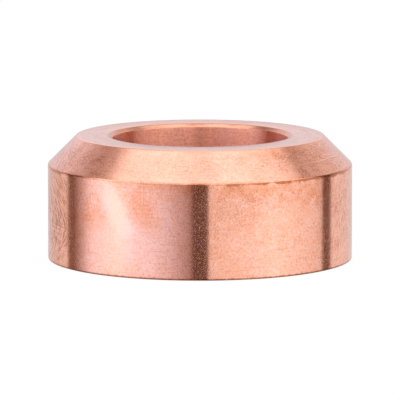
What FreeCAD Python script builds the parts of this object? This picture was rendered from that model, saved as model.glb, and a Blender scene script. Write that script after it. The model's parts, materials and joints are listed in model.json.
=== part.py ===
"""Plasma torch deflector: a thick copper ring turned from bar, 32 mm across and 13 mm high.

The ring stands on its flat rear face with the axis along +Z. The nose is bevelled at 45 degrees and
ends in a flat annulus around a plain bore. Behind that bore the skirt is hollow and tapped, so that
the ring screws onto the front thread of the torch. All lengths are in millimetres.
"""

import FreeCAD
import Part
import Sketcher

import os

# Driving dimensions. Every one is a cell of the sheet, and the features read the sheet.
SIZES = {
    "overall_height": 13.0,        # rear face to front face
    "bevel_width": 3.0,            # radial width of the conical nose
    "bevel_angle": 45.0,           # degrees between the cone and the front face
    "bore_diameter": 18.5,         # plain bore that clears the nozzle
    "bore_chamfer": 0.35,          # break at the bore's front mouth
    "bore_rear_chamfer": 0.2,      # break where the bore meets the seat
    "thread_diameter": 27.0,       # nominal size of the internal thread
    "thread_pitch": 1.5,
    "skirt_wall": 2.5,             # thread's nominal size to the outside, which makes it 32 mm across
    "socket_depth": 8.5,           # rear face to the seat at the end of the tapped socket
    "thread_lead_in": 0.2,         # how far the mouth chamfer opens past the nominal size
    "relief_width": 1.8,           # flat of the undercut between the last thread and the seat
    "relief_clearance": 0.2,       # radial depth of the undercut past the nominal size
    "relief_corner_radius": 0.4,
    "front_edge_radius": 0.2,      # front face to cone
    "shoulder_edge_radius": 0.3,   # cone to skirt
    "rear_edge_radius": 0.15,      # skirt to rear face
}

# An internal thread's crests stand inside its nominal size by 5/8 of a sharp 60 degree profile's
# height. The wall of the socket is modelled at those crests.
THREAD_DEPTH_PER_PITCH = 0.541266

BORE_RADIUS = "Sizes.bore_diameter / 2"
SKIRT_RADIUS = "Sizes.thread_diameter / 2 + Sizes.skirt_wall"
THREAD_WALL_RADIUS = f"Sizes.thread_diameter / 2 - {THREAD_DEPTH_PER_PITCH} * Sizes.thread_pitch"
THREAD_MOUTH_RADIUS = "Sizes.thread_diameter / 2 + Sizes.thread_lead_in"
RELIEF_RADIUS = "Sizes.thread_diameter / 2 + Sizes.relief_clearance"

# The same radii as numbers, to start the sketches near their solution and to find edges by.
BORE = SIZES["bore_diameter"] / 2
SKIRT = SIZES["thread_diameter"] / 2 + SIZES["skirt_wall"]
THREAD_WALL = SIZES["thread_diameter"] / 2 - THREAD_DEPTH_PER_PITCH * SIZES["thread_pitch"]
THREAD_MOUTH = SIZES["thread_diameter"] / 2 + SIZES["thread_lead_in"]
RELIEF = SIZES["thread_diameter"] / 2 + SIZES["relief_clearance"]

# Edges are picked by where they lie, and this is how close the match has to be.
EDGE_TOLERANCE = 1e-4


def make_sheet(doc):
    """The spreadsheet of driving dimensions, one aliased cell a size."""
    sheet = doc.addObject("Spreadsheet::Sheet", "Sizes")
    for row, (name, value) in enumerate(SIZES.items(), start=1):
        sheet.set(f"A{row}", name)
        sheet.set(f"B{row}", str(value))
        sheet.setAlias(f"B{row}", name)
    doc.recompute()
    return sheet


def origin_plane(body, role):
    """One of the body's own origin planes, by its role."""
    return next(f for f in body.Origin.OriginFeatures if f.Role == role)


def add_sketch(body, name, role):
    """An empty sketch on one of the body's origin planes."""
    sketch = body.newObject("Sketcher::SketchObject", name)
    sketch.AttachmentSupport = (origin_plane(body, role), [""])
    sketch.MapMode = "FlatFace"
    return sketch


def add_outline(sketch, corners):
    """A closed outline through the corners, joined end to end."""
    points = [FreeCAD.Vector(x, y, 0) for x, y in corners]
    lines = []
    for start, end in zip(points, points[1:] + points[:1]):
        lines.append(sketch.addGeometry(Part.LineSegment(start, end), False))
    for line, following in zip(lines, lines[1:] + lines[:1]):
        sketch.addConstraint(Sketcher.Constraint("Coincident", line, 2, following, 1))
    return lines


def constrain(sketch, kind, *where):
    """A constraint that holds no size, such as Horizontal or Vertical, on each given line."""
    for line in where:
        sketch.addConstraint(Sketcher.Constraint(kind, line))


def dimension(sketch, name, expression, kind, *where):
    """A named dimension bound to the sheet. The value given here only seeds the solver."""
    index = sketch.addConstraint(Sketcher.Constraint(kind, *where))
    sketch.renameConstraint(index, name)
    sketch.setExpression(f"Constraints.{name}", expression)


def round_corner(sketch, before, after, radius):
    """Rounds the corner where two lines meet. The sharp corner stays as a point to measure from."""
    start = sketch.Geometry[before].StartPoint
    end = sketch.Geometry[after].EndPoint
    sketch.fillet(before, after, start, end, radius, True, True)
    corner = sketch.GeometryCount - 1
    arc = corner - 1
    return arc, corner


def circular_edge(feature, radius, height):
    """The name of the feature's full circle of that radius about the axis at that height."""
    for number, edge in enumerate(feature.Shape.Edges, start=1):
        curve = edge.Curve
        if not isinstance(curve, Part.Circle):
            continue
        if abs(curve.Radius - radius) < EDGE_TOLERANCE and abs(curve.Center.z - height) < EDGE_TOLERANCE:
            return f"Edge{number}"
    raise RuntimeError(f"{feature.Label} has no circle of radius {radius} at height {height}")


def dress_edge(body, kind, name, size, radius, height):
    """A fillet or chamfer of the named size on the circle at that radius and height."""
    base = body.Tip
    feature = body.newObject(kind, name)
    feature.Base = (base, [circular_edge(base, radius, height)])
    feature.setExpression("Radius" if kind.endswith("Fillet") else "Size", f"Sizes.{size}")
    body.Document.recompute()
    return feature


def turn_blank(body):
    """The outside as the lathe leaves it: a solid disc with a conical nose and a rounded shoulder."""
    height = SIZES["overall_height"]
    nose = SKIRT - SIZES["bevel_width"]
    shoulder = height - SIZES["bevel_width"]
    edge = SIZES["shoulder_edge_radius"]
    sketch = add_sketch(body, "BlankSection", "XZ_Plane")
    corners = [(0, 0), (SKIRT, 0), (SKIRT, shoulder), (nose, height), (0, height)]
    rear, skirt, cone, front, axis = add_outline(sketch, corners)
    arc, corner = round_corner(sketch, skirt, cone, edge)
    sketch.addConstraint(Sketcher.Constraint("Coincident", rear, 1, -1, 1))
    constrain(sketch, "Horizontal", rear, front)
    constrain(sketch, "Vertical", skirt, axis)
    dimension(sketch, "skirt_radius", SKIRT_RADIUS, "DistanceX", rear, 1, rear, 2, SKIRT)
    dimension(sketch, "height", "Sizes.overall_height", "DistanceY", rear, 1, front, 2, height)
    dimension(sketch, "shoulder_round", "Sizes.shoulder_edge_radius", "Radius", arc, edge)
    dimension(sketch, "bevel", "Sizes.bevel_width", "DistanceX", front, 1, corner, 1, SKIRT - nose)
    dimension(
        sketch,
        "bevel_drop",
        "Sizes.bevel_width * tan(Sizes.bevel_angle * 1 deg)",
        "DistanceY", corner, 1, front, 1, height - shoulder,
    )
    blank = body.newObject("PartDesign::Revolution", "TurnedBlank")
    blank.Profile = sketch
    blank.ReferenceAxis = (sketch, ["V_Axis"])
    blank.Angle = 360
    body.Document.recompute()
    return sketch


def bore_through(body):
    """The plain bore that the nozzle stands in, cut right through along the axis."""
    sketch = add_sketch(body, "BoreCircle", "XY_Plane")
    circle = Part.Circle(FreeCAD.Vector(0, 0, 0), FreeCAD.Vector(0, 0, 1), BORE)
    ring = sketch.addGeometry(circle, False)
    sketch.addConstraint(Sketcher.Constraint("Coincident", ring, 3, -1, 1))
    dimension(sketch, "bore_radius", BORE_RADIUS, "Radius", ring, BORE)
    bore = body.newObject("PartDesign::Pocket", "NozzleBore")
    bore.Profile = sketch
    bore.Type = "ThroughAll"
    bore.Reversed = True
    body.Document.recompute()
    return sketch


def cut_socket(body):
    """The tapped socket behind the bore, with its mouth chamfer and its undercut at the seat."""
    seat = SIZES["socket_depth"]
    undercut = seat - SIZES["relief_width"]
    lead_in_depth = THREAD_MOUTH - THREAD_WALL
    run_out_depth = RELIEF - THREAD_WALL
    sketch = add_sketch(body, "SocketSection", "XZ_Plane")
    corners = [
        (0, 0),
        (THREAD_MOUTH, 0),
        (THREAD_WALL, lead_in_depth),
        (THREAD_WALL, undercut - run_out_depth),
        (RELIEF, undercut),
        (RELIEF, seat),
        (0, seat),
    ]
    rear, lead_in, thread_wall, run_out, undercut_wall, seat_line, axis = add_outline(sketch, corners)
    sketch.addConstraint(Sketcher.Constraint("Coincident", rear, 1, -1, 1))
    constrain(sketch, "Horizontal", rear, seat_line)
    constrain(sketch, "Vertical", thread_wall, undercut_wall, axis)
    dimension(sketch, "mouth_radius", THREAD_MOUTH_RADIUS, "DistanceX", rear, 1, rear, 2, THREAD_MOUTH)
    dimension(sketch, "wall_radius", THREAD_WALL_RADIUS, "DistanceX", rear, 1, thread_wall, 1, THREAD_WALL)
    dimension(
        sketch,
        "lead_in_depth",
        f"{THREAD_MOUTH_RADIUS} - ({THREAD_WALL_RADIUS})",
        "DistanceY", rear, 2, thread_wall, 1, lead_in_depth,
    )
    dimension(sketch, "relief_radius", RELIEF_RADIUS, "DistanceX", rear, 1, undercut_wall, 1, RELIEF)
    dimension(
        sketch,
        "run_out_depth",
        f"{RELIEF_RADIUS} - ({THREAD_WALL_RADIUS})",
        "DistanceY", thread_wall, 2, undercut_wall, 1, run_out_depth,
    )
    dimension(
        sketch,
        "relief_width",
        "Sizes.relief_width",
        "DistanceY", undercut_wall, 1, undercut_wall, 2, seat - undercut,
    )
    dimension(sketch, "depth", "Sizes.socket_depth", "DistanceY", rear, 1, seat_line, 2, seat)
    socket = body.newObject("PartDesign::Groove", "TappedSocket")
    socket.Profile = sketch
    socket.ReferenceAxis = (sketch, ["V_Axis"])
    socket.Angle = 360
    body.Document.recompute()
    return sketch


def break_edges(body):
    """The chamfers at the bore's two mouths and the small radii where faces meet."""
    height = SIZES["overall_height"]
    seat = SIZES["socket_depth"]
    nose = SKIRT - SIZES["bevel_width"]
    chamfer, fillet = "PartDesign::Chamfer", "PartDesign::Fillet"
    dress_edge(body, chamfer, "BoreMouth", "bore_chamfer", BORE, height)
    dress_edge(body, chamfer, "BoreRearBreak", "bore_rear_chamfer", BORE, seat)
    dress_edge(body, fillet, "UndercutCorner", "relief_corner_radius", RELIEF, seat)
    dress_edge(body, fillet, "FrontEdge", "front_edge_radius", nose, height)
    dress_edge(body, fillet, "RearEdge", "rear_edge_radius", SKIRT, 0)


def make_deflector(doc):
    """The whole ring: one piece of copper, and one solid."""
    body = doc.addObject("PartDesign::Body", "Deflector")
    body.Label = "deflector_ring"
    sketches = [turn_blank(body), bore_through(body), cut_socket(body)]
    break_edges(body)
    body.Placement = FreeCAD.Placement()
    for sketch in sketches:
        if not sketch.FullyConstrained:
            raise RuntimeError(f"{sketch.Label} isn't fully constrained")
    return body


def check(doc, bodies):
    """Stops with a plain message if a feature failed or a solid isn't sound."""
    for obj in doc.Objects:
        if {"Invalid", "Error"} & set(obj.State):
            raise RuntimeError(f"{obj.Label} failed to recompute: {obj.State}")
    for body in bodies:
        shape = body.Shape
        if shape.isNull() or not shape.isValid() or len(shape.Solids) != 1:
            raise RuntimeError(f"{body.Label} isn't one valid solid")


def main():
    doc = FreeCAD.newDocument("PlasmaTorchDeflector")
    make_sheet(doc)
    bodies = [make_deflector(doc)]
    doc.recompute()
    check(doc, bodies)
    os.makedirs("parts", exist_ok=True)
    for body in bodies:
        body.Shape.exportStep(f"parts/{body.Label}.step")
        box = body.Shape.optimalBoundingBox(True, False)
        print(
            f"{body.Label}: volume {body.Shape.Volume:.1f} mm3, "
            f"{box.XLength:.3f} x {box.YLength:.3f} x {box.ZLength:.3f} mm"
        )


main()
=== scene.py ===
# %% [markdown]
# # A copper plasma torch deflector
# The deflector is one thick ring, turned from copper bar. It screws onto the front of a plasma torch and
# sheds the spatter of the cut. These cells dress its imported solid: they turn the ring again with finer
# edges and a true thread, give each of its surfaces its own finish, and light it in a light tent.
#
# The first cell loads the imported model. The shapes are in metres, with the ring standing on z = 0 and its
# axis along +Z, and the finishes count in millimetres. The box of the imported model is kept, so that the last
# cell can print it beside the new one.

# %% Load the imported model
import json
import math

import bmesh
import bpy
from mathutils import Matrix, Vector


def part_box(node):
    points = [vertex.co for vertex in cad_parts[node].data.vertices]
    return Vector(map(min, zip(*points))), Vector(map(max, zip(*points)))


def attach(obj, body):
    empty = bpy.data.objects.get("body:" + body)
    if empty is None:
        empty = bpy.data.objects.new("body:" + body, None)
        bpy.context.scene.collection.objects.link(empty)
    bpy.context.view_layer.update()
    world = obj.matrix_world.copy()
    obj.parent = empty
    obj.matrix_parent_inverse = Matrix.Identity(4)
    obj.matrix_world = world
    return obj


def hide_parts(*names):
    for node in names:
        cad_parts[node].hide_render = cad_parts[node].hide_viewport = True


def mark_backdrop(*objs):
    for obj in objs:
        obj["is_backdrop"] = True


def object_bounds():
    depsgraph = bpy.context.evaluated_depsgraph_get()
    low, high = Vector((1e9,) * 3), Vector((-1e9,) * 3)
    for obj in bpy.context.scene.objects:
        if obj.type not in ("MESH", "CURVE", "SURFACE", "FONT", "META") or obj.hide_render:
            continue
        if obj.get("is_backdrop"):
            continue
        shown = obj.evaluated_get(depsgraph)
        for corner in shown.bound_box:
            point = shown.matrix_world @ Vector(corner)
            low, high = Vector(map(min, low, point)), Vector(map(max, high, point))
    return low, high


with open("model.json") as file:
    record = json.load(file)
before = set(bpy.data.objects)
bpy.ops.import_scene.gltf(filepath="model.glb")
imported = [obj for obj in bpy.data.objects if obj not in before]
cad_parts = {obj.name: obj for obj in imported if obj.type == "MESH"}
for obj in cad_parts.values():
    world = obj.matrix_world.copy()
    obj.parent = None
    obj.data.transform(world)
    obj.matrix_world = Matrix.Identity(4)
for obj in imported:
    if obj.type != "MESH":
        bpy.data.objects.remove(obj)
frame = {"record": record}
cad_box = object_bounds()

# %% [markdown]
# ## Sizes
# A turned part is known by a few radii and heights. The outside, the height and the mounts come from the
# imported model, so the ring made here can't drift from it. The chamfers and rounds of the edges are named
# beside them, because they are what catches the light.

# %% Read the main sizes
MM = 0.001
NODE = "deflector_ring"

ring_low, ring_high = (Vector(corner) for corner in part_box(NODE))
mounts = {mount["name"]: mount for mount in frame["record"]["mounts"]}

SKIRT = ring_high.x
TOP = ring_high.z
BORE = mounts["nozzle_bore"]["dims"]["r_mm"] * MM
CREST = mounts["torch_thread"]["dims"]["r_mm"] * MM
SEAT = mounts["cap_seat"]["pos_m"][2]

BEVEL = 3.0 * MM
NOSE = SKIRT - BEVEL
SHOULDER = TOP - BEVEL
MOUTH_CHAMFER = 0.35 * MM
SEAT_CHAMFER = 0.2 * MM
NOSE_ROUND = 0.2 * MM
SHOULDER_ROUND = 0.3 * MM
REAR_ROUND = 0.15 * MM
MOUTH_ROUND = 0.15 * MM
BORE_ROUND = 0.1 * MM
SEAT_ROUND = 0.05 * MM
UNDERCUT_ROUND = 0.4 * MM
print(f"skirt {SKIRT / MM:.3f}, top {TOP / MM:.3f}, bore {BORE / MM:.3f}, crest {CREST / MM:.3f} mm")

# %% [markdown]
# ## The socket's thread
# The torch's cap has an M27 x 1.5 thread, and the socket has the matching one. Its form repeats once a
# pitch: a narrow flat at the root, a 30 degree flank on each side and a wider flat at the crest. The
# chamfer at the mouth and the undercut behind the last turn are simple cuts, so their radii are worked out
# here, next to the thread's.

# %% Name the thread's sizes
PITCH = 1.5 * MM
PROFILE_HEIGHT = PITCH * math.sqrt(3) / 2
ROOT = CREST + 5 / 8 * PROFILE_HEIGHT
CREST_FLAT = PITCH / 4
ROOT_FLAT = PITCH / 8
FLANK = (PITCH - CREST_FLAT - ROOT_FLAT) / 2
RELIEF_WIDTH = 1.8 * MM
RELIEF_CLEARANCE = 0.2 * MM
RELIEF = ROOT + RELIEF_CLEARANCE
RELIEF_START = SEAT - RELIEF_WIDTH
print(f"root {ROOT / MM:.3f}, undercut {RELIEF / MM:.3f} mm, flank {FLANK / MM:.3f} mm")

# %% [markdown]
# ## Turning the ring
# A lathe makes every surface of this part but the thread, and the spin operator is Blender's lathe. The
# section is drawn with sharp corners as a chain of edges, and one full spin sweeps it round the axis. It
# starts inside the undercut, passes the seat, the bore, the nose and the skirt, and ends at the mouth of
# the socket. The gap between its two ends is where the thread goes.

# %% Spin the section
SEGMENTS = 720
WELD = 0.001 * MM
RELIEF_JOIN = SEAT - RELIEF_WIDTH / 2

SECTION = [
    (RELIEF, RELIEF_JOIN),
    (RELIEF, SEAT),
    (BORE + SEAT_CHAMFER, SEAT),
    (BORE, SEAT + SEAT_CHAMFER),
    (BORE, TOP - MOUTH_CHAMFER),
    (BORE + MOUTH_CHAMFER, TOP),
    (NOSE, TOP),
    (SKIRT, SHOULDER),
    (SKIRT, 0.0),
    (RELIEF, 0.0),
]


def draw_chain(bm, points):
    """A chain of edges in the XZ plane through points given as radius and height."""
    verts = [bm.verts.new((radius, 0.0, height)) for radius, height in points]
    edges = [bm.edges.new(pair) for pair in zip(verts, verts[1:])]
    return verts, edges


ring = bmesh.new()
chain_verts, chain_edges = draw_chain(ring, SECTION)
bmesh.ops.spin(
    ring,
    geom=chain_verts + chain_edges,
    cent=(0.0, 0.0, 0.0),
    axis=(0.0, 0.0, 1.0),
    dvec=(0.0, 0.0, 0.0),
    angle=2 * math.pi,
    steps=SEGMENTS,
    use_merge=True,
    use_duplicate=False,
)
bmesh.ops.remove_doubles(ring, verts=ring.verts, dist=WELD)
print("turned blank:", len(ring.verts), "vertices,", len(ring.faces), "faces")

# %% [markdown]
# ## Breaking the edges
# No turned edge is sharp. The nose, the shoulder and the rear edge have small radii, and the rim of the bore
# has a hair of one, which shows in the light as a thin bright line. Each is a bevel on one ring of edges.
# The operator wants the distance from the corner to where the round starts, so a helper works that out from
# the radius and from how far the section turns there.

# %% Bevel each ring of edges
SAME = 0.02 * MM


def is_at(vert, radius, height):
    """True for a point on the circle of that radius about the axis at that height."""
    return abs(math.hypot(vert.co.x, vert.co.y) - radius) < SAME and abs(vert.co.z - height) < SAME


def round_edge(radius, height, size, turn_degrees, segments):
    """Rounds one ring of edges to the given radius."""
    rim = [e for e in ring.edges if all(is_at(v, radius, height) for v in e.verts)]
    bmesh.ops.bevel(
        ring,
        geom=rim,
        offset=size * math.tan(math.radians(turn_degrees) / 2),
        offset_type="OFFSET",
        affect="EDGES",
        segments=segments,
        profile=0.5,
        material=-1,
        clamp_overlap=False,
    )


round_edge(RELIEF, SEAT, UNDERCUT_ROUND, 90, 6)
round_edge(BORE + SEAT_CHAMFER, SEAT, SEAT_ROUND, 45, 2)
round_edge(BORE, SEAT + SEAT_CHAMFER, SEAT_ROUND, 45, 2)
round_edge(BORE, TOP - MOUTH_CHAMFER, BORE_ROUND, 45, 3)
round_edge(BORE + MOUTH_CHAMFER, TOP, MOUTH_ROUND, 45, 3)
round_edge(NOSE, TOP, NOSE_ROUND, 45, 5)
round_edge(SKIRT, SHOULDER, SHOULDER_ROUND, 45, 6)
round_edge(SKIRT, 0.0, REAR_ROUND, 90, 6)
print("edges broken:", len(ring.verts), "vertices")

# %% [markdown]
# ## Cutting the thread
# A thread is a spin that climbs: the same operator with an upward step each time. A comb of teeth, one a
# pitch, is drawn as a chain and swept through one turn while it rises by one pitch. So its last column
# lands on its first, one tooth higher, and merging them makes one endless spiral. Two flat cuts trim it to
# the socket's length. Then the mouth's chamfer and the run-out into the undercut are made as the lathe
# makes them, by moving out every point that the tool would reach.

# %% Sweep the thread
THREAD_STEPS = 180
SPARE_TEETH = 2
TEETH = math.ceil(RELIEF_JOIN / PITCH) + SPARE_TEETH

thread = bmesh.new()
comb = [(CREST, -SPARE_TEETH * PITCH)]
for tooth in range(TEETH):
    start = (tooth - SPARE_TEETH) * PITCH
    comb.append((CREST, start + CREST_FLAT))
    comb.append((ROOT, start + CREST_FLAT + FLANK))
    comb.append((ROOT, start + CREST_FLAT + FLANK + ROOT_FLAT))
    comb.append((CREST, start + PITCH))
comb_verts, comb_edges = draw_chain(thread, comb)
bmesh.ops.subdivide_edges(thread, edges=comb_edges, cuts=2)
bmesh.ops.spin(
    thread,
    geom=list(thread.verts) + list(thread.edges),
    cent=(0.0, 0.0, 0.0),
    axis=(0.0, 0.0, 1.0),
    dvec=(0.0, 0.0, PITCH / THREAD_STEPS),
    angle=2 * math.pi,
    steps=THREAD_STEPS,
    use_merge=False,
    use_duplicate=False,
)
bmesh.ops.remove_doubles(thread, verts=thread.verts, dist=2 * WELD)
print("thread:", TEETH, "teeth swept,", len(thread.verts), "vertices")

# %% Trim it and open its two ends
for height, upward in ((0.0, -1.0), (RELIEF_JOIN, 1.0)):
    bmesh.ops.bisect_plane(
        thread,
        geom=list(thread.verts) + list(thread.edges) + list(thread.faces),
        dist=WELD / 2,
        plane_co=(0.0, 0.0, height),
        plane_no=(0.0, 0.0, upward),
        clear_outer=True,
    )


def tool_reach(height):
    """How far out the chamfering and undercutting tools cut at that height."""
    mouth = RELIEF - height
    run_out = RELIEF - (RELIEF_START - height)
    return min(max(mouth, run_out), RELIEF)


for vert in thread.verts:
    radius = math.hypot(vert.co.x, vert.co.y)
    wanted = max(radius, tool_reach(vert.co.z))
    vert.co.x *= wanted / radius
    vert.co.y *= wanted / radius
print("thread trimmed:", len(thread.verts), "vertices")

# %% [markdown]
# ## One closed skin
# The ring and its thread are put in one mesh, and bridge_loops closes the two seams between their open
# rims. The result has to be watertight, so the cell counts the edges that don't have two faces. The volume
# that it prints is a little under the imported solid's, by as much as the thread's grooves take away.

# %% Join ring and thread
thread_mesh = bpy.data.meshes.new("thread_part")
thread.to_mesh(thread_mesh)
thread.free()
ring.from_mesh(thread_mesh)
bpy.data.meshes.remove(thread_mesh)


def open_rim(height):
    """The open edges that lie at that height."""
    return [e for e in ring.edges if e.is_boundary and all(abs(v.co.z - height) < SAME for v in e.verts)]


for height in (0.0, RELIEF_JOIN):
    bmesh.ops.bridge_loops(ring, edges=open_rim(height))
bmesh.ops.recalc_face_normals(ring, faces=ring.faces)
open_edges = sum(1 for e in ring.edges if not e.is_manifold)
print("open edges:", open_edges, "volume:", round(ring.calc_volume() / MM ** 3, 1), "mm3")

# %% [markdown]
# ## Zones of finish
# One piece of copper, but five finishes. The skirt and the cone were turned and then handled. The front and
# rear faces were faced off, and the chamfer at the bore's mouth with them. The bore was bored, and the thread
# was chased. Each face gets the number of its zone from where it lies, and a material goes in each slot. The
# piece stands for the imported solid, so that node is hidden and the ring hangs on the root body in its place.

# %% Sort the faces into zones
ZONES = ["skirt_copper", "cone_copper", "faced_copper", "bored_copper", "threaded_copper"]
SKIRTED, CONED, FACED, BORED, THREADED = range(len(ZONES))
CREASE = math.radians(32)


def add_object(name, shape):
    """A new object in the scene, made from a bmesh that is then freed."""
    mesh = bpy.data.meshes.new(name)
    shape.to_mesh(mesh)
    shape.free()
    made = bpy.data.objects.new(name, mesh)
    bpy.context.scene.collection.objects.link(made)
    return made


def zone_of(face):
    """The finish that belongs to where the face lies."""
    centre = face.calc_center_median()
    radius = math.hypot(centre.x, centre.y)
    if radius < BORE + MOUTH_CHAMFER:
        return BORED if centre.z < TOP - MOUTH_CHAMFER else FACED
    if radius < RELIEF + SAME and centre.z < SEAT + SAME:
        return THREADED if centre.z > SAME else FACED
    if centre.z > TOP - SAME or centre.z < SAME:
        return FACED
    return CONED if centre.z > SHOULDER else SKIRTED


for face in ring.faces:
    face.material_index = zone_of(face)
    face.smooth = True

turned_ring = add_object("turned_ring", ring)
turned_ring.data.set_sharp_from_angle(angle=CREASE)
weighting = turned_ring.modifiers.new("even_shading", "WEIGHTED_NORMAL")
weighting.keep_sharp = True

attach(turned_ring, "root")
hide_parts(NODE)
print("zones:", ", ".join(ZONES))

# %% [markdown]
# ## Helpers for shader nodes
# A node tree is easier to read in code when one short call makes a node, sets it up and joins its inputs.
# An input is given either as a plain value or as another node's output. An effect that several finishes
# share is a node group, which is a small tree of its own with named inputs and outputs.

# %% Define the node helpers
def add_node(tree, kind, inputs=None, **settings):
    """A node of that kind. Settings are its properties, and inputs are values or other nodes' outputs."""
    made = tree.nodes.new(kind)
    for name, value in settings.items():
        setattr(made, name, value)
    for name, value in (inputs or {}).items():
        if isinstance(value, bpy.types.NodeSocket):
            tree.links.new(value, made.inputs[name])
        else:
            made.inputs[name].default_value = value
    return made


def sum_of(tree, operation, first, second=0.0, third=0.0, clamp=False):
    """The result of one sum on numbers or outputs."""
    made = add_node(
        tree,
        "ShaderNodeMath",
        {0: first, 1: second, 2: third},
        operation=operation,
        use_clamp=clamp,
    )
    return made.outputs[0]


def vector_of(tree, operation, first, second=None, scale=None):
    """The result of one sum on vectors."""
    inputs = {0: first}
    if second is not None:
        inputs[1] = second
    if scale is not None:
        inputs["Scale"] = scale
    made = add_node(tree, "ShaderNodeVectorMath", inputs, operation=operation)
    return made.outputs["Value" if operation in ("LENGTH", "DOT_PRODUCT") else "Vector"]


def fade(tree, value, start, end):
    """Smoothly 0 at start and 1 at end."""
    inputs = {"Value": value, "From Min": start, "From Max": end}
    return add_node(tree, "ShaderNodeMapRange", inputs, interpolation_type="SMOOTHSTEP").outputs[0]


def join(tree, x=0.0, y=0.0, z=0.0):
    """A vector from three numbers or outputs."""
    return add_node(tree, "ShaderNodeCombineXYZ", {0: x, 1: y, 2: z}).outputs[0]


def noise_at(tree, vector, scale, detail=2.0, roughness=0.5, distortion=0.0):
    """A noise pattern from 0 to 1, about 0.5 in the middle."""
    inputs = {"Vector": vector, "Scale": scale, "Detail": detail, "Roughness": roughness}
    inputs["Distortion"] = distortion
    return add_node(tree, "ShaderNodeTexNoise", inputs).outputs[0]


def blend_colour(tree, amount, first, second):
    """One colour blended into another by an amount from 0 to 1."""
    inputs = {"Factor": amount, "A": first, "B": second}
    made = tree.nodes.new("ShaderNodeMix")
    made.data_type = "RGBA"
    for socket in made.inputs:
        if socket.enabled and socket.name in inputs:
            value = inputs[socket.name]
            if isinstance(value, bpy.types.NodeSocket):
                tree.links.new(value, socket)
            else:
                socket.default_value = (*value, 1.0) if isinstance(value, tuple) else value
    return next(socket for socket in made.outputs if socket.enabled)


def new_material(name):
    """An empty material with its output node."""
    made = bpy.data.materials.new(name)
    made.use_nodes = True
    made.node_tree.nodes.clear()
    return made, add_node(made.node_tree, "ShaderNodeOutputMaterial")


def new_group(name, inputs, outputs):
    """An empty node group with a Position input and the given number inputs and outputs."""
    made = bpy.data.node_groups.new(name, "ShaderNodeTree")
    made.interface.new_socket(name="Position", in_out="INPUT", socket_type="NodeSocketVector")
    for label, start in inputs.items():
        socket = made.interface.new_socket(name=label, in_out="INPUT", socket_type="NodeSocketFloat")
        socket.default_value = start
    for label in outputs:
        made.interface.new_socket(name=label, in_out="OUTPUT", socket_type="NodeSocketFloat")
    entrance = made.nodes.new("NodeGroupInput")
    leaving = made.nodes.new("NodeGroupOutput")
    return made, entrance.outputs, leaving.inputs


def use_group(tree, group, position, **values):
    """A placed node group. Underscores in the keywords stand for the spaces in its inputs' names."""
    inputs = {label.replace("_", " ").capitalize(): value for label, value in values.items()}
    return add_node(tree, "ShaderNodeGroup", {"Position": position, **inputs}, node_tree=group).outputs


# %% [markdown]
# ## Places on a turned part
# Most marks on this ring follow the lathe, so they are simple in the terms of a turned part: the angle about
# the axis, the radius and the height. This group works those out from a position in millimetres. The angle
# is 0 at the front, and its seam is at the back, so only marks placed one by one use it. All patterns that go
# right round use the position itself, which has no seam. In this cell and the next ones, tree is the group
# that is being built.

# %% Group: turned place
turned_place, given, wanted = new_group("turned_place", {}, ["Angle", "Radius", "Height"])
tree = turned_place
parts = add_node(tree, "ShaderNodeSeparateXYZ", {0: given["Position"]}).outputs
towards_front = sum_of(tree, "MULTIPLY", parts["Y"], -1.0)
angle = sum_of(tree, "ARCTAN2", parts["X"], towards_front)
flat = join(tree, parts["X"], parts["Y"])
tree.links.new(angle, wanted["Angle"])
tree.links.new(vector_of(tree, "LENGTH", flat), wanted["Radius"])
tree.links.new(parts["Z"], wanted["Height"])

# %% [markdown]
# ## Turning marks
# The tool leaves fine grooves round the axis, on the outside, on the faces and in the bore. They are noise
# that is stretched about twenty times longer round the ring than across it. Noise in four dimensions does
# that without a seam: two hold the direction from the axis, and the others the height and the radius.

# %% Group: turning marks
turning_marks, given, wanted = new_group(
    "turning_marks",
    {"Lines per mm": 6.0, "Waver": 3.0},
    ["Marks"],
)
tree = turning_marks
parts = add_node(tree, "ShaderNodeSeparateXYZ", {0: given["Position"]}).outputs
flat = join(tree, parts["X"], parts["Y"])
direction = vector_of(tree, "NORMALIZE", flat)
direction = vector_of(tree, "SCALE", direction, scale=given["Waver"])
across = sum_of(tree, "MULTIPLY", parts["Z"], given["Lines per mm"])
place = vector_of(tree, "ADD", direction, join(tree, z=across))
outwards = vector_of(tree, "LENGTH", flat)
outwards = sum_of(tree, "MULTIPLY", outwards, given["Lines per mm"])
marks = add_node(
    tree,
    "ShaderNodeTexNoise",
    {"Vector": place, "W": outwards, "Scale": 1.0, "Detail": 3.0, "Roughness": 0.7},
    noise_dimensions="4D",
).outputs[0]
tree.links.new(marks, wanted["Marks"])

# %% [markdown]
# ## Grain and specks
# Close up, the bare copper is mottled at the size of its grain, one or two tenths of a millimetre, with
# darker specks where the skin has begun to turn. The grain is plain noise. The specks are the peaks of a
# finer noise, and a slow second noise raises and lowers them, so they come in loose clusters.

# %% Group: grain
grain_of_copper, given, wanted = new_group("grain_of_copper", {"Size": 0.15, "Upright": 1.0}, ["Grain"])
tree = grain_of_copper
squeeze = sum_of(tree, "DIVIDE", 1.0, given["Upright"])
place = vector_of(tree, "MULTIPLY", given["Position"], join(tree, 1.0, 1.0, squeeze))
fineness = sum_of(tree, "DIVIDE", 1.0, given["Size"])
grain = noise_at(tree, place, fineness, detail=3.0, roughness=0.75)
tree.links.new(grain, wanted["Grain"])

# %% Group: specks
CLUSTERS_PER_MM = 0.6
CLUSTER_LIFT = 0.35
HIGHEST_BAR = 0.96
BAR_DROP = 0.3
SPECK_EDGE = 0.09

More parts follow.
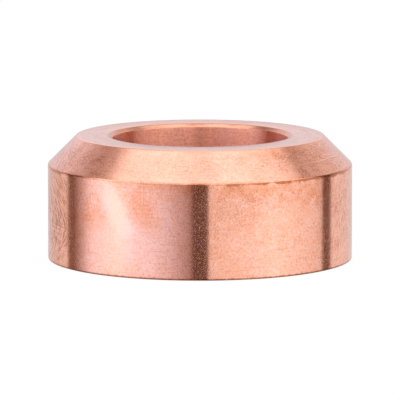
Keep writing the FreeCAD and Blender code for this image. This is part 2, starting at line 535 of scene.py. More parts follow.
dark_specks, given, wanted = new_group("dark_specks", {"Size": 0.12, "Cover": 0.3}, ["Specks"])
tree = dark_specks
fineness = sum_of(tree, "DIVIDE", 1.0, given["Size"])
peaks = noise_at(tree, given["Position"], fineness, detail=1.0, roughness=0.5)
clusters = noise_at(tree, given["Position"], CLUSTERS_PER_MM, detail=2.0, roughness=0.6)
lifted = sum_of(tree, "MULTIPLY_ADD", clusters, CLUSTER_LIFT, peaks)
bar = sum_of(tree, "MULTIPLY_ADD", given["Cover"], -BAR_DROP, HIGHEST_BAR)
full = sum_of(tree, "ADD", bar, SPECK_EDGE)
tree.links.new(fade(tree, lifted, bar, full), wanted["Specks"])

# %% [markdown]
# ## Tarnish
# Copper that has been handled turns in clouds: warm orange where it has been touched, and paler and pinker
# where it is still clean. This group is cloudy noise, cut at a level that its Cover input sets.

# %% Group: tarnish clouds
tarnish_clouds, given, wanted = new_group(
    "tarnish_clouds",
    {"Patch size": 3.0, "Cover": 0.5, "Softness": 0.2},
    ["Cloud"],
)
tree = tarnish_clouds
fineness = sum_of(tree, "DIVIDE", 1.0, given["Patch size"])
clouds = noise_at(tree, given["Position"], fineness, detail=6.0, roughness=0.62, distortion=0.3)
level = sum_of(tree, "SUBTRACT", 1.0, given["Cover"])
low = sum_of(tree, "SUBTRACT", level, given["Softness"])
high = sum_of(tree, "ADD", level, given["Softness"])
tree.links.new(fade(tree, clouds, low, high), wanted["Cloud"])

# %% [markdown]
# ## Lines along the rims
# Lines run along the turned edges. At the shoulder and at the rear edge they are painted reflection, the dark
# that those rounds mirror. Elsewhere wear and dirt gather along them. An edge of this ring is a circle, so its
# distance is short to work out from the radius and the height alone. Noise makes the line ragged, as if by
# many small knocks.

# %% Group: rim line
RIM_SHIFT = 4.0

rim_line, given, wanted = new_group(
    "rim_line",
    {"Rim radius": 16.0, "Rim height": 10.0, "Width": 0.2, "Ragged": 0.5},
    ["Line"],
)
tree = rim_line
place = use_group(tree, turned_place, given["Position"])
out = sum_of(tree, "SUBTRACT", place["Radius"], given["Rim radius"])
up = sum_of(tree, "SUBTRACT", place["Height"], given["Rim height"])
away = vector_of(tree, "LENGTH", join(tree, out, up))
share = sum_of(tree, "DIVIDE", away, given["Width"])
coarse = noise_at(tree, given["Position"], scale=3.5, detail=4.0, roughness=0.7)
shift = sum_of(tree, "MULTIPLY", sum_of(tree, "SUBTRACT", coarse, 0.5), given["Ragged"])
share = sum_of(tree, "MULTIPLY_ADD", shift, RIM_SHIFT, share)
line = fade(tree, share, 1.1, 0.35)
slow = noise_at(tree, given["Position"], scale=0.5, detail=3.0, roughness=0.6)
patchy = fade(tree, slow, 0.22, 0.45)
even_share = sum_of(tree, "SUBTRACT", 1.0, given["Ragged"])
patchy = sum_of(tree, "MULTIPLY_ADD", patchy, given["Ragged"], even_share)
tree.links.new(sum_of(tree, "MULTIPLY", line, patchy), wanted["Line"])

# %% [markdown]
# ## Marks of handling, and a painted highlight
# A few marks are in one place only: stains, a bright patch that is a painted highlight, hair scratches and
# the streaks that a thumb leaves. They are placed on the unrolled surface, by their angle in degrees from the
# front and their height in millimetres. One group makes a ragged patch, one a tapered scratch, and one the
# streaks.

# %% Group: stain and highlight patch
PATCH_SHIFT = 3.0

stain_and_highlight_patch, given, wanted = new_group(
    "stain_and_highlight_patch",
    {
        "Centre angle": 0.0,
        "Centre height": 5.0,
        "Half width": 2.0,
        "Half height": 2.0,
        "Lean": 0.0,
        "Ragged": 0.5,
    },
    ["Patch"],
)
tree = stain_and_highlight_patch
place = use_group(tree, turned_place, given["Position"])
centre = sum_of(tree, "RADIANS", given["Centre angle"])
along = sum_of(tree, "SUBTRACT", place["Angle"], centre)
along = sum_of(tree, "MULTIPLY", along, place["Radius"])
up = sum_of(tree, "SUBTRACT", place["Height"], given["Centre height"])
along = sum_of(tree, "MULTIPLY_ADD", up, given["Lean"], along)
along = sum_of(tree, "DIVIDE", along, given["Half width"])
up = sum_of(tree, "DIVIDE", up, given["Half height"])
away = vector_of(tree, "LENGTH", join(tree, along, up))
coarse = noise_at(tree, given["Position"], scale=0.7, detail=5.0, roughness=0.6)
shift = sum_of(tree, "MULTIPLY", sum_of(tree, "SUBTRACT", coarse, 0.5), given["Ragged"])
away = sum_of(tree, "MULTIPLY_ADD", shift, PATCH_SHIFT, away)
tree.links.new(fade(tree, away, 1.25, 0.35), wanted["Patch"])

# %% Group: hair scratch
hair_scratch, given, wanted = new_group(
    "hair_scratch",
    {
        "Start angle": 0.0,
        "Start height": 5.0,
        "End angle": 10.0,
        "End height": 5.0,
        "Width": 0.05,
    },
    ["Scratch"],
)
tree = hair_scratch
place = use_group(tree, turned_place, given["Position"])


def unrolled(angle, height):
    """The point on the unrolled surface at that angle and height."""
    return join(tree, sum_of(tree, "MULTIPLY", angle, place["Radius"]), height)


here = unrolled(place["Angle"], place["Height"])
start = unrolled(sum_of(tree, "RADIANS", given["Start angle"]), given["Start height"])
end = unrolled(sum_of(tree, "RADIANS", given["End angle"]), given["End height"])
reach = vector_of(tree, "SUBTRACT", end, start)
offset = vector_of(tree, "SUBTRACT", here, start)
share = sum_of(
    tree,
    "DIVIDE",
    vector_of(tree, "DOT_PRODUCT", offset, reach),
    vector_of(tree, "DOT_PRODUCT", reach, reach),
    clamp=True,
)
nearest = vector_of(tree, "SCALE", reach, scale=share)
away = vector_of(tree, "LENGTH", vector_of(tree, "SUBTRACT", offset, nearest))
bow = sum_of(tree, "MULTIPLY", share, sum_of(tree, "SUBTRACT", 1.0, share))
taper = sum_of(tree, "POWER", sum_of(tree, "MULTIPLY", bow, 4.0), 0.4)
broken = noise_at(tree, given["Position"], scale=1.1, detail=3.0, roughness=0.6)
taper = sum_of(tree, "MULTIPLY", taper, sum_of(tree, "MULTIPLY_ADD", broken, 1.2, 0.4))
half = sum_of(tree, "MULTIPLY", given["Width"], taper)
edge = sum_of(tree, "SUBTRACT", half, away)
inner = sum_of(tree, "MULTIPLY", given["Width"], 0.6)
tree.links.new(fade(tree, edge, 0.0, inner), wanted["Scratch"])

# %% Group: thumb streaks
BOW_FLATNESS = 1.8

thumb_streaks, given, wanted = new_group(
    "thumb_streaks",
    {"Spacing": 0.5, "Length": 1.5, "Lean": 1.0, "Middle height": 4.0},
    ["Streaks"],
)
tree = thumb_streaks
place = use_group(tree, turned_place, given["Position"])
up = sum_of(tree, "SUBTRACT", place["Height"], given["Middle height"])
bow = vector_of(tree, "LENGTH", join(tree, up, BOW_FLATNESS))
along = sum_of(tree, "MULTIPLY", place["Angle"], place["Radius"])
along = sum_of(tree, "MULTIPLY_ADD", bow, given["Lean"], along)
along = sum_of(tree, "DIVIDE", along, given["Spacing"])
up = sum_of(tree, "DIVIDE", up, given["Length"])
place = join(tree, along, up)
streaks = noise_at(tree, place, scale=1.0, detail=1.5, roughness=0.5, distortion=0.3)
tree.links.new(streaks, wanted["Streaks"])
print("node groups:", ", ".join(sorted(group.name for group in bpy.data.node_groups)))

# %% [markdown]
# ## Building up a finish
# Each finish starts as clean copper and gets its layers in turn, as a painter would put them on: stains
# change the colour, a matt film dulls it, and marks change the height. This small class keeps the three
# together. The height is counted in millimetres and goes through one Bump node at the end.
#
# Turned metal shines in its own way. The grooves run round the axis, so a highlight is smeared across them
# and stays sharp along them. The shader does that with its anisotropy, and a radial tangent about Z tells
# it which way the grooves run.

# %% Define how a finish is built
COPPER = (0.95, 0.475, 0.35)
ROUND_THE_AXIS = 0.25
FILM_ROUGHNESS = 0.5


class Finish:
    """One copper finish, built up as colour, matt film and height in millimetres."""

    def __init__(self, name, base, roughness):
        self.material, self.output = new_material(name)
        self.tree = self.material.node_tree
        spot = add_node(self.tree, "ShaderNodeTexCoord").outputs["Object"]
        self.position = vector_of(self.tree, "SCALE", spot, scale=1 / MM)
        self.colour = base
        self.roughness = roughness
        self.height = 0.0
        self.film = 0.0

    def mark(self, group, **values):
        """The mask that a node group puts out on this finish."""
        return use_group(self.tree, group, self.position, **values)[0]

    def part_of(self, mask, start, end):
        """The part of a mask between two levels, stretched to 0 and 1."""
        return fade(self.tree, mask, start, end)

    def within(self, mask, other):
        """Where both masks are."""
        return sum_of(self.tree, "MULTIPLY", mask, other)

    def stain(self, mask, colour, strength):
        """Blends a colour in where the mask is."""
        amount = sum_of(self.tree, "MULTIPLY", mask, strength)
        self.colour = blend_colour(self.tree, amount, self.colour, colour)

    def dust(self, mask, share):
        """Lays a thin matt film over the copper where the mask is."""
        self.film = sum_of(self.tree, "MULTIPLY_ADD", mask, share, self.film)

    def lift(self, mask, height):
        """Raises the surface where the mask is, or sinks it with a negative number."""
        self.height = sum_of(self.tree, "MULTIPLY_ADD", mask, height, self.height)

    def close(self, anisotropy, edge_tint=(1.0, 1.0, 1.0)):
        """Puts the layers on the shader and gives back the material."""
        bump = add_node(self.tree, "ShaderNodeBump", {"Height": self.height, "Distance": MM})
        tangent = add_node(self.tree, "ShaderNodeTangent", direction_type="RADIAL", axis="Z")
        shader = add_node(self.tree, "ShaderNodeBsdfPrincipled", {
            "Base Color": self.colour,
            "Metallic": 1.0,
            "Roughness": self.roughness,
            "Anisotropic": anisotropy,
            "Anisotropic Rotation": ROUND_THE_AXIS,
            "Specular Tint": (*edge_tint, 1.0),
            "Coat Weight": self.film,
            "Coat Roughness": FILM_ROUGHNESS,
            "Normal": bump.outputs["Normal"],
            "Tangent": tangent.outputs["Tangent"],
        })
        self.tree.links.new(shader.outputs["BSDF"], self.output.inputs["Surface"])
        print(f"{self.material.name}: {len(self.tree.nodes)} nodes")
        return self.material


# %% [markdown]
# ## Layers that every surface has
# All of the ring has the same grain, turning marks and specks, only stronger in one place than another, so
# one function puts them on. The grain and the marks stain the colour a little and raise the surface by
# about a thousandth of a millimetre, which makes them glitter. Some grains carry a matt film. They show as
# light dots where the copper mirrors something dark, and hardly at all where it mirrors white cloth. The
# heights are in millimetres.

# %% Define the common layers
ORANGE = (0.90, 0.37, 0.22)
PINK = (0.97, 0.55, 0.46)
PALE = (1.0, 0.62, 0.50)
RUSSET = (0.62, 0.20, 0.09)
BROWN = (0.42, 0.13, 0.06)
UMBER = (0.26, 0.075, 0.03)

GRAIN_HEIGHT = 0.0012
LINE_HEIGHT = 0.0008
GLINT_HEIGHT = 0.0014
STREAK_DEPTH = 0.0045


def common_layers(finish, grain_strength, line_strength, specks_cover, glint=1.0):
    """The grain, turning marks, specks and dull grains that every surface of the ring has."""
    grain = finish.mark(grain_of_copper, size=0.2, upright=1.3)
    finish.stain(finish.part_of(grain, 0.46, 0.74), RUSSET, 0.6 * grain_strength)
    finish.stain(finish.part_of(grain, 0.50, 0.25), PALE, 0.6 * grain_strength)
    finish.lift(grain, GRAIN_HEIGHT)
    lines = finish.mark(turning_marks, lines_per_mm=7.0, waver=5.0)
    finish.stain(finish.part_of(lines, 0.5, 0.8), RUSSET, line_strength)
    finish.lift(lines, LINE_HEIGHT)
    specks = finish.mark(dark_specks, size=0.1, cover=specks_cover)
    finish.stain(specks, RUSSET, 0.25)
    grains = finish.mark(grain_of_copper, size=0.12, upright=1.0)
    finish.dust(finish.part_of(grains, 0.46, 0.64), 0.35 * glint)
    finish.lift(finish.part_of(grains, 0.57, 0.66), GLINT_HEIGHT * glint)


def rims(finish, edges):
    """Lines along edges given as radius, height, width, raggedness, colour and strength."""
    for radius, height, width, ragged, colour, strength in edges:
        line = finish.mark(
            rim_line,
            rim_radius=radius / MM,
            rim_height=height / MM,
            width=width,
            ragged=ragged,
        )
        finish.stain(line, colour, strength)


# %% [markdown]
# ## Layers that are placed one by one
# The other marks are given by their place on the unrolled surface. The functions for patches, scratches,
# fine lines and freckles take a list and put on one mark for each of its lines. The one for a thumb print
# puts on a single print.

# %% Define the placed layers
def patch_at(finish, angle, height, half_width, half_height, lean=0.0, ragged=1.0):
    """The mask of one patch, ragged at its edge."""
    return finish.mark(
        stain_and_highlight_patch,
        centre_angle=angle,
        centre_height=height,
        half_width=half_width,
        half_height=half_height,
        lean=lean,
        ragged=ragged,
    )


def patches(finish, places, colour, strength):
    """Patches given as angle, height, half width, half height, lean and raggedness."""
    for place in places:
        finish.stain(patch_at(finish, *place), colour, strength)


def scratches(finish, lines, colour, strength, depth):
    """Hair scratches given as start angle, start height, end angle, end height and width."""
    for start_angle, start_height, end_angle, end_height, width in lines:
        scratch = finish.mark(
            hair_scratch,
            start_angle=start_angle,
            start_height=start_height,
            end_angle=end_angle,
            end_height=end_height,
            width=width,
        )
        finish.stain(scratch, colour, strength)
        finish.lift(scratch, -depth)


def fine_lines(finish, places, strength):
    """Patches of crowded turning marks, given as angle, height, half width and half height."""
    lines = finish.part_of(finish.mark(turning_marks, lines_per_mm=4.5, waver=9.0), 0.5, 0.66)
    for place in places:
        finish.stain(finish.within(patch_at(finish, *place), lines), RUSSET, strength)


def freckles(finish, places, strength):
    """Patches of crowded dark specks, given as angle, height, half width and half height."""
    specks = finish.part_of(finish.mark(grain_of_copper, size=0.13, upright=1.0), 0.50, 0.60)
    for place in places:
        finish.stain(finish.within(patch_at(finish, *place), specks), BROWN, strength)


def thumb_print(finish, angle, height, half_width, half_height, lean, middle_height, strength):
    """A patch of fine dark and light streaks, as a thumb leaves them."""
    thumb = patch_at(finish, angle, height, half_width, half_height, ragged=0.5)
    streaks = finish.mark(
        thumb_streaks,
        spacing=0.28,
        length=1.0,
        lean=lean,
        middle_height=middle_height,
    )
    dark = finish.within(thumb, finish.part_of(streaks, 0.5, 0.58))
    light = finish.within(thumb, finish.part_of(streaks, 0.48, 0.38))
    finish.stain(dark, BROWN, strength)
    finish.stain(light, PALE, 0.6 * strength)
    finish.lift(dark, -STREAK_DEPTH)


# %% [markdown]
# ## The skirt
# The skirt carries most of the wear. It is clouded with orange tarnish and pinker where it is clean. A pale
# streak, a painted highlight, leans across the left, beside two orange stains. Thumb prints streak the far
# left and the far right. The shoulder and the rear edge have a red-brown line, which is painted reflection of
# the dark that their rounds mirror, and darker brown patches lie just under the shoulder.

# %% Finish: skirt
skirt = Finish("skirt_copper", COPPER, 0.17)
skirt.stain(skirt.mark(tarnish_clouds, patch_size=3.2, cover=0.5, softness=0.14), ORANGE, 0.45)
skirt.stain(skirt.mark(tarnish_clouds, patch_size=0.9, cover=0.45, softness=0.12), PINK, 0.45)
patches(skirt, [
    (-15.0, 4.0, 4.5, 4.0, 0.0, 0.8),
], PINK, 0.6)
patches(skirt, [
    (-21.5, 6.9, 1.6, 2.3, 0.4, 0.5),
    (-45.5, 6.0, 2.6, 1.4, 0.0, 1.0),
], ORANGE, 0.95)
patches(skirt, [
    (20.0, 9.3, 6.0, 0.9, 0.0, 1.8),
    (42.0, 8.9, 4.0, 1.2, 0.0, 1.8),
    (-10.0, 9.6, 7.0, 0.4, 0.0, 1.4),
], ORANGE, 0.85)
fine_lines(skirt, [
    (-45.5, 6.0, 3.4, 1.8),
    (-12.0, 4.0, 3.5, 2.0),
    (14.0, 7.0, 5.0, 3.0),
], 0.25)
thumb_print(skirt, -73, 5.0, 4.6, 6.0, 1.2, 4.2, 1.0)
thumb_print(skirt, 72, 5.0, 4.0, 6.0, 0.3, 5.0, 0.35)
common_layers(skirt, 1.0, 0.6, 0.2)
freckles(skirt, [
    (15.0, 7.2, 3.5, 1.8),
    (30.0, 8.8, 8.0, 1.5),
    (60.0, 7.5, 4.5, 4.0),
    (-60.0, 5.0, 3.0, 5.0),
    (-80.0, 5.0, 5.0, 8.0),
    (80.0, 5.0, 4.0, 8.0),
], 0.45)
# Painted highlight: a pale streak that leans across the left of the skirt.
patches(skirt, [
    (-32.4, 6.8, 1.6, 3.6, 0.38, 0.4),
], PALE, 0.68)
patches(skirt, [
    (-30.0, 3.5, 5.0, 3.2, 0.0, 0.6),
], PINK, 0.35)
# Darker brown patches just under the shoulder.
patches(skirt, [
    (-72.0, 9.95, 3.0, 0.25, 0.0, 1.6),
    (25.0, 9.95, 6.0, 0.2, 0.0, 2.2),
    (45.0, 9.95, 6.0, 0.25, 0.0, 1.8),
    (66.0, 9.95, 4.0, 0.25, 0.0, 1.6),
], BROWN, 0.8)
scratches(skirt, [
    (-82.0, 4.6, -60.0, 4.2, 0.06),
    (-80.0, 4.0, -62.0, 3.9, 0.05),
    (-78.0, 3.6, -64.0, 3.4, 0.05),
], UMBER, 0.6, 0.002)
rims(skirt, [
    # Painted reflection: the red-brown line along the shoulder's round.
    (SKIRT, SHOULDER, 0.2, 0.8, RUSSET, 0.55),
    # Painted reflection: the dark line along the rear edge stands for the shaded table that its round mirrors.
    (SKIRT, 0.0, 0.26, 0.3, UMBER, 0.95),
])
turned_ring.data.materials.append(skirt.close(1.0))

# %% [markdown]
# ## The cone
# The cone is cleaner, and most freckled towards its left and right. Long hair scratches run round it at the
# right. Most are a light line with a darker one beside it, as a scratch has a lit and a shaded side.

# %% Finish: cone
cone = Finish("cone_copper", COPPER, 0.17)
cone.stain(cone.mark(tarnish_clouds, patch_size=2.0, cover=0.4, softness=0.14), ORANGE, 0.25)
patches(cone, [
    (30.0, 12.5, 3.0, 0.5, 0.0, 1.4),
], ORANGE, 0.5)
fine_lines(cone, [
    (-60.0, 11.5, 6.0, 1.8),
    (58.0, 11.8, 5.0, 1.6),
], 0.6)
thumb_print(cone, -74, 11.2, 3.5, 1.6, 0.6, 8.0, 0.4)
common_layers(cone, 0.7, 0.5, 0.8)
freckles(cone, [
    (64.0, 11.6, 9.0, 2.6),
    (-66.0, 11.3, 6.0, 2.0),
], 0.9)
freckles(cone, [
    (-10.0, 11.2, 9.0, 1.2),
    (22.0, 11.6, 8.0, 1.6),
], 0.35)
scratches(cone, [
    (40.0, 11.24, 83.0, 11.4, 0.03),
    (61.7, 11.5, 79.6, 11.2, 0.03),
    (62.7, 11.8, 74.6, 11.5, 0.03),
], PALE, 0.8, 0.0)
scratches(cone, [
    (40.0, 11.17, 83.0, 11.33, 0.03),
    (61.7, 11.44, 79.6, 11.14, 0.03),
], RUSSET, 0.7, 0.0)
rims(cone, [
    # Painted reflection: the red-brown line along the shoulder's round.
    (SKIRT, SHOULDER, 0.17, 0.8, RUSSET, 0.5),
    (NOSE, TOP, 0.16, 0.4, ORANGE, 0.9),
])
turned_ring.data.materials.append(cone.close(1.0))

# %% [markdown]
# ## The faces
# The flat front was faced off, so its marks are circles in the face. It is the cleanest and palest copper
# of the ring, and the rear face has the same finish.

# %% Finish: faces
faced = Finish("faced_copper", (0.98, 0.56, 0.44), 0.15)
common_layers(faced, 0.7, 1.6, 0.3, 0.3)
rings = faced.mark(turning_marks, lines_per_mm=5.0, waver=2.5)
faced.stain(faced.part_of(rings, 0.50, 0.62), RUSSET, 0.4)
rims(faced, [
    (BORE + MOUTH_CHAMFER / 2, TOP - MOUTH_CHAMFER / 2, 0.5, 0.1, RUSSET, 0.5),
    (BORE + MOUTH_CHAMFER, TOP, 0.12, 0.4, RUSSET, 0.6),
])
turned_ring.data.materials.append(faced.close(0.9, (1.0, 0.97, 0.93)))

# %% [markdown]
# ## The bore
# The bore is plainly machined, with marks from the boring bar all round. Its light bounces between the walls
# and takes on more of the copper's colour each time, so it looks deep red, and its own colour is hardly
# redder than the skirt's.

# %% Finish: bore
bored = Finish("bored_copper", (0.94, 0.41, 0.30), 0.38)
common_layers(bored, 1.3, 0.9, 0.4, 0.0)
scratches(bored, [(-163.7, 11.5, -167.3, 10.95, 0.035)], UMBER, 0.5, 0.003)
turned_ring.data.materials.append(bored.close(1.0))

# %% [markdown]
# ## The thread
# The socket's finish is a little duller, as a tapped thread is, because no tool polishes its flanks.

# %% Finish: thread
threaded = Finish("threaded_copper", COPPER, 0.25)
common_layers(threaded, 0.5, 0.3, 0.5)
turned_ring.data.materials.append(threaded.close(0.9))
print("finishes:", ", ".join(material.name for material in turned_ring.data.materials))

# %% [markdown]
# ## The light tent
# Polished metal shows its surroundings, so they are half of its look. Product photographers stand it in a
# tent of white cloth. Here the tent is one big sphere that gives light: cloth walls that are brighter where
# a lamp stands behind them, narrow gaps between their panels, and the dark opening in front, where the
# lens is. The skirt stands upright and mirrors the walls, so the gaps become its dark upright bands.
#
# The walls are listed by their direction, in degrees from the front. The shaded cloth is warmer than the
# bright cloth, and the lamp at the left is cooler than the one at the right.

# %% Name the tent's cloths
TENT_RADIUS = 0.8
PEAK = 2.0
LEFT_GAP = (0.22, 0.12, 0.085)
RIGHT_GAP = (0.17, 0.085, 0.05)
OPENING = (0.045, 0.019, 0.011)
FLAP = (0.62, 0.55, 0.52)
# The lowest cloth is painted shade: the table under the ring, in the ring's shade.
PAINTED_TABLE_SHADE = (0.42, 0.34, 0.30)


def warm(level):
    """Cloth lit by the lamp at the right, and browner where it is darker."""
    return (level, level ** 1.27, level ** 1.38)


def cool(level):
    """Cloth lit by the lamp at the left, which is a little bluer."""
    return (level, 1.03 * level ** 1.27, 1.17 * level ** 1.38)


WALLS = [
    (-180, cool(0.72)),
    (-155, warm(0.80)),
    (-137, warm(0.84)),
    (-119.3, warm(0.97)),
    (-117.2, LEFT_GAP),
    (-110, LEFT_GAP),
    (-106, warm(0.40)),
    (-99, cool(0.69)),
    (-92, cool(1.04)),
    (-84, cool(1.20)),
    (-76, cool(1.23)),
    (-66, warm(1.30)),
    (-54, cool(1.19)),
    (-48, cool(1.09)),
    (-35, cool(1.00)),
    (-22, cool(0.77)),
    (-15, cool(0.59)),
    (-9, cool(0.42)),
    (-5.5, warm(0.38)),
    (5.7, warm(0.42)),
    (6.4, warm(0.98)),
    (32, warm(1.09)),
    (59, warm(1.26)),
    (81, warm(1.07)),
    (98, warm(1.0)),
    (104.2, warm(0.95)),
    (105.7, RIGHT_GAP),
    (115.2, RIGHT_GAP),
    (117.0, warm(1.0)),
    (150, warm(0.91)),
    (165, warm(0.80)),
    (180, cool(0.72)),
]

# %% [markdown]
# The cone leans back and mirrors the tent's roof. There the levels go by how high the cloth hangs, in
# degrees above the table, so the cone looks much alike from all sides. A dim ring at half height, where the
# walls are sewn to the bright roof, makes the two darker fields on the cone. The top of the tent is dimmer
# again, which keeps the flat front from washing out when it is looked at from above.

# %% Name the roof's levels
ROOF_LEFT = [
    (0, cool(0.98)),
    (14, cool(1.00)),
    (25, cool(0.95)),
    (30, cool(0.88)),
    (37, cool(0.63)),
    (43, warm(0.54)),
    (50.5, warm(0.59)),
    (53.0, warm(0.98)),
    (57.5, warm(1.36)),
    (63, warm(1.42)),
    (73, warm(1.48)),
    (80, warm(1.50)),
    (86, warm(1.0)),
]
ROOF_RIGHT = [
    (0, cool(0.92)),
    (14, cool(0.92)),
    (25, warm(0.93)),
    (31, warm(0.89)),
    (37, warm(0.80)),
    (45, warm(0.66)),
    (48.2, warm(0.71)),
    (50.8, warm(1.06)),
    (58, warm(1.20)),
    (64, warm(1.36)),
    (73, warm(1.48)),
    (80, warm(1.50)),
    (86, warm(1.0)),
]


def ramp_node(tree, factor, levels, first, last):
    """A colour ramp through cloths listed by degrees, from the first angle to the last."""
    made = add_node(tree, "ShaderNodeValToRGB", {"Fac": factor})
    stops = made.color_ramp.elements
    while len(stops) < len(levels):
        stops.new(1.0)
    for stop, (degrees, colour) in zip(stops, levels):
        stop.position = (degrees - first) / (last - first)
        stop.color = (*(channel / PEAK for channel in colour), 1.0)
    return made.outputs["Color"]


# %% Make the tent
tent_shape = bmesh.new()
bmesh.ops.create_uvsphere(tent_shape, u_segments=96, v_segments=48, radius=TENT_RADIUS)
light_tent = add_object("light_tent", tent_shape)
light_tent.visible_camera = False
light_tent.visible_shadow = False
print("tent:", len(WALLS), "wall stops,", len(ROOF_LEFT) + len(ROOF_RIGHT), "roof stops")

# %% [markdown]
# ## Sewing the tent together
# The cloth's material works out in which direction each of its points lies, and picks its colour from the
# lists. Around that come five more things. The opening for the lens is low, and a flap of cloth closes the
# gap above it. Over the table's edge the side gaps are wider, because poles stand in them. The panels in
# front are taller than those behind, so the seam to the roof is higher there. And two lamps hang high over
# the front, left and right. The bore mirrors all of these: it is bored with coarse rings, which smear what
# it sees up and down but not sideways. The lamps hang above what the flat front face mirrors when it is
# seen from behind, so they don't wash it out.

# %% Find the directions
cloth, cloth_output = new_material("tent_cloth")
tree = cloth.node_tree
spot = add_node(tree, "ShaderNodeTexCoord").outputs["Object"]
direction = add_node(tree, "ShaderNodeSeparateXYZ", {0: vector_of(tree, "NORMALIZE", spot)}).outputs
towards_front = sum_of(tree, "MULTIPLY", direction["Y"], -1.0)
turned = sum_of(tree, "ARCTAN2", direction["X"], towards_front)
turned = sum_of(tree, "MULTIPLY_ADD", turned, 1 / (2 * math.pi), 0.5)
degrees = sum_of(tree, "MULTIPLY_ADD", turned, 360.0, -180.0)
aside = sum_of(tree, "ABSOLUTE", degrees)
raised = sum_of(tree, "ARCSINE", direction["Z"])
raised = sum_of(tree, "DIVIDE", raised, math.pi / 2, clamp=True)


def going_up(start, end):
    """Smoothly 0 at one height and 1 at the other, both in degrees above the table."""
    return fade(tree, direction["Z"], math.sin(math.radians(start)), math.sin(math.radians(end)))


def where_all(*masks):
    """The product of masks, which is 1 only where all of them are."""
    product = masks[0]
    for mask in masks[1:]:
        product = sum_of(tree, "MULTIPLY", product, mask)
    return product


# %% Hang the walls
walls = ramp_node(tree, turned, WALLS, -180, 180)
opening = where_all(
    fade(tree, degrees, -8.0, -4.6),
    fade(tree, degrees, 6.3, 5.8),
    going_up(10, 3),
)
walls = blend_colour(tree, opening, walls, OPENING)
poles = where_all(
    fade(tree, aside, 93.0, 104.0),
    fade(tree, aside, 142.0, 130.0),
    going_up(2, 9),
    going_up(24, 14),
)
walls = blend_colour(tree, poles, walls, OPENING)
flap = where_all(fade(tree, aside, 26.0, 10.0), going_up(9, 17))
walls = blend_colour(tree, flap, walls, FLAP)

# %% Sew on the roof and lay the table's painted shade
left = ramp_node(tree, raised, ROOF_LEFT, 0, 90)
right = ramp_node(tree, raised, ROOF_RIGHT, 0, 90)
roof = blend_colour(tree, fade(tree, direction["X"], -0.15, 0.15), left, right)
across = vector_of(tree, "LENGTH", join(tree, direction["X"], direction["Y"]))
behind = fade(tree, sum_of(tree, "DIVIDE", direction["Y"], across), 0.47, 0.71)
low_seam = going_up(1, 18)
high_seam = going_up(25, 45)
change = sum_of(tree, "SUBTRACT", low_seam, high_seam)
seam = sum_of(tree, "MULTIPLY_ADD", behind, change, high_seam)
upper = blend_colour(tree, seam, walls, roof)
lamps = where_all(
    fade(tree, aside, 104.0, 84.0),
    fade(tree, aside, 3.0, 12.0),
    going_up(22, 30),
    going_up(58, 48),
)
lamp_light = sum_of(tree, "MULTIPLY_ADD", fade(tree, direction["X"], 0.2, -0.2), 0.15, 1.4)
upper = vector_of(tree, "SCALE", upper, scale=sum_of(tree, "MULTIPLY_ADD", lamps, lamp_light, 1.0))
# Painted shade: below the table's edge the tent turns dim, for the table in the ring's shade.
whole = blend_colour(tree, going_up(-38, -65), upper, PAINTED_TABLE_SHADE)
glow = add_node(tree, "ShaderNodeEmission", {"Color": whole, "Strength": PEAK})
tree.links.new(glow.outputs[0], cloth_output.inputs["Surface"])
cloth.cycles.emission_sampling = "NONE"
light_tent.data.materials.append(cloth)
print("tent cloth:", len(tree.nodes), "nodes")

# %% [markdown]
# ## The table
# The table is a wide white disc. The camera sees it almost as pure white, like the background, with just
# enough of its own shade left in for the ring's soft shadow. From below it is clear, so the socket can be
# looked into. The copper doesn't mirror the disc but the tent, whose panels reach down behind it.
#
# Inside the ring the table is in the ring's own shade, and that does show in the bore. A small dim disc
# there stands for it, which only mirrored light meets.

# %% Make the discs
FLOOR_RADIUS = 0.75
SHADE_RADIUS = 12.0 * MM
SHADE_DEPTH = 0.05 * MM
SHADE = (0.12, 0.06, 0.045, 1.0)
WHITE = (1.0, 1.0, 1.0, 1.0)
CAMERA_SHARE = 0.96


def flat_disc(name, radius, height):
    """A flat round disc about the axis, at that height."""
    shape = bmesh.new()
    bmesh.ops.create_circle(shape, cap_ends=True, segments=128, radius=radius)
    disc = add_object(name, shape)
    disc.location.z = height
    return disc


studio_floor = flat_disc("studio_floor", FLOOR_RADIUS, 0.0)
studio_floor.visible_glossy = False
shaded_table = flat_disc("shaded_table", SHADE_RADIUS, -SHADE_DEPTH)
shaded_table.visible_camera = False
shaded_table.visible_diffuse = False
shaded_table.visible_shadow = False

# %% Paint the floor
paint, paint_output = new_material("floor_paint")
tree = paint.node_tree
rays = add_node(tree, "ShaderNodeLightPath").outputs
matt = add_node(tree, "ShaderNodeBsdfDiffuse", {"Color": (0.95, 0.95, 0.95, 1.0)})
white = add_node(tree, "ShaderNodeEmission", {"Color": WHITE, "Strength": 1.0})
share = sum_of(tree, "MULTIPLY", rays["Is Camera Ray"], CAMERA_SHARE)
top_side = add_node(tree, "ShaderNodeMixShader", {0: share, 1: matt.outputs[0], 2: white.outputs[0]})
clear = add_node(tree, "ShaderNodeBsdfTransparent")
below = add_node(tree, "ShaderNodeNewGeometry").outputs["Backfacing"]
one_way = add_node(tree, "ShaderNodeMixShader", {0: below, 1: top_side.outputs[0], 2: clear.outputs[0]})
tree.links.new(one_way.outputs[0], paint_output.inputs["Surface"])
studio_floor.data.materials.append(paint)

# %% Paint the shade
shade, shade_output = new_material("table_in_shade")
tree = shade.node_tree
dim = add_node(tree, "ShaderNodeEmission", {"Color": SHADE, "Strength": 1.0})
tree.links.new(dim.outputs[0], shade_output.inputs["Surface"])
shade.cycles.emission_sampling = "NONE"
shaded_table.data.materials.append(shade)
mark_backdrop(studio_floor, light_tent, shaded_table)
print("stage: floor, shade and tent")

# %% [markdown]
# ## The white room
# Behind everything the world is plain white, so the picture has a white background. It is only seen. It
# gives no light to the ring, which all comes from the tent.

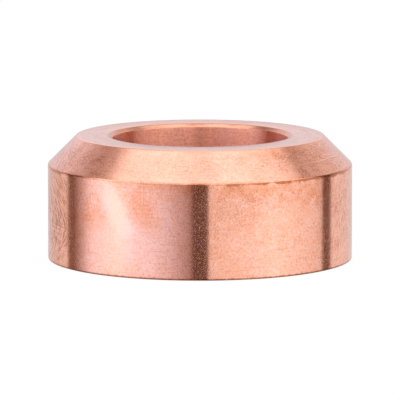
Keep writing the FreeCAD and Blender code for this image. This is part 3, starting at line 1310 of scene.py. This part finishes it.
# %% Make the world
world = bpy.data.worlds.new("white_room")
bpy.context.scene.world = world
world.use_nodes = True
tree = world.node_tree
tree.nodes.clear()
rays = add_node(tree, "ShaderNodeLightPath").outputs
seen = sum_of(tree, "MAXIMUM", rays["Is Camera Ray"], rays["Is Glossy Ray"])
seen = sum_of(tree, "MAXIMUM", seen, rays["Is Transmission Ray"])
background = add_node(tree, "ShaderNodeBackground", {"Color": WHITE, "Strength": seen})
add_node(tree, "ShaderNodeOutputWorld", {"Surface": background.outputs[0]})
print("world:", world.name)

# %% [markdown]
# ## The camera
# The photo was taken from just above the table with a long lens. The camera stands half a metre in front,
# eight degrees up. The focal length is worked out from how many pixels of a 400-pixel picture one metre
# covers at one metre's distance, which is what can be measured in a photo. It looks at a point on the axis
# a little under the middle of the ring, so the ring sits as high in the frame as in the photo.

# %% Place the camera
IMAGE = 400
SENSOR = 36.0
FOCAL_PIXELS = 4980.0
CAMERA_DISTANCE = 524.2 * MM
CAMERA_ELEVATION = math.radians(8.05)
ORBIT_HEIGHT = 6.72 * MM
SIGHT_HEIGHT = 6.086 * MM

camera_data = bpy.data.cameras.new("camera")
camera_data.sensor_width = SENSOR
camera_data.lens = FOCAL_PIXELS * SENSOR / IMAGE
camera_data.clip_start = 0.01
camera_data.clip_end = 10.0
camera = bpy.data.objects.new("camera", camera_data)
bpy.context.scene.collection.objects.link(camera)
camera.location = (
    0.0,
    -CAMERA_DISTANCE * math.cos(CAMERA_ELEVATION),
    ORBIT_HEIGHT + CAMERA_DISTANCE * math.sin(CAMERA_ELEVATION),
)
sight = Vector((0.0, 0.0, SIGHT_HEIGHT)) - camera.location
camera.rotation_euler = sight.to_track_quat("-Z", "Y").to_euler()
bpy.context.scene.camera = camera
bpy.context.scene.view_settings.view_transform = "Standard"
print(f"camera: {camera_data.lens:.0f} mm lens at {CAMERA_DISTANCE / MM:.0f} mm")

# %% [markdown]
# ## The two boxes
# The dressed ring has to fill the same box as the imported model. Both boxes are printed side by side.

# %% Print the two boxes
visual_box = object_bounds()
boxes = {"cad": [list(corner) for corner in cad_box], "visual": [list(corner) for corner in visual_box]}
for name, (low, high) in boxes.items():
    print(name, "box in mm:", [round((b - a) / MM, 3) for a, b in zip(low, high)])
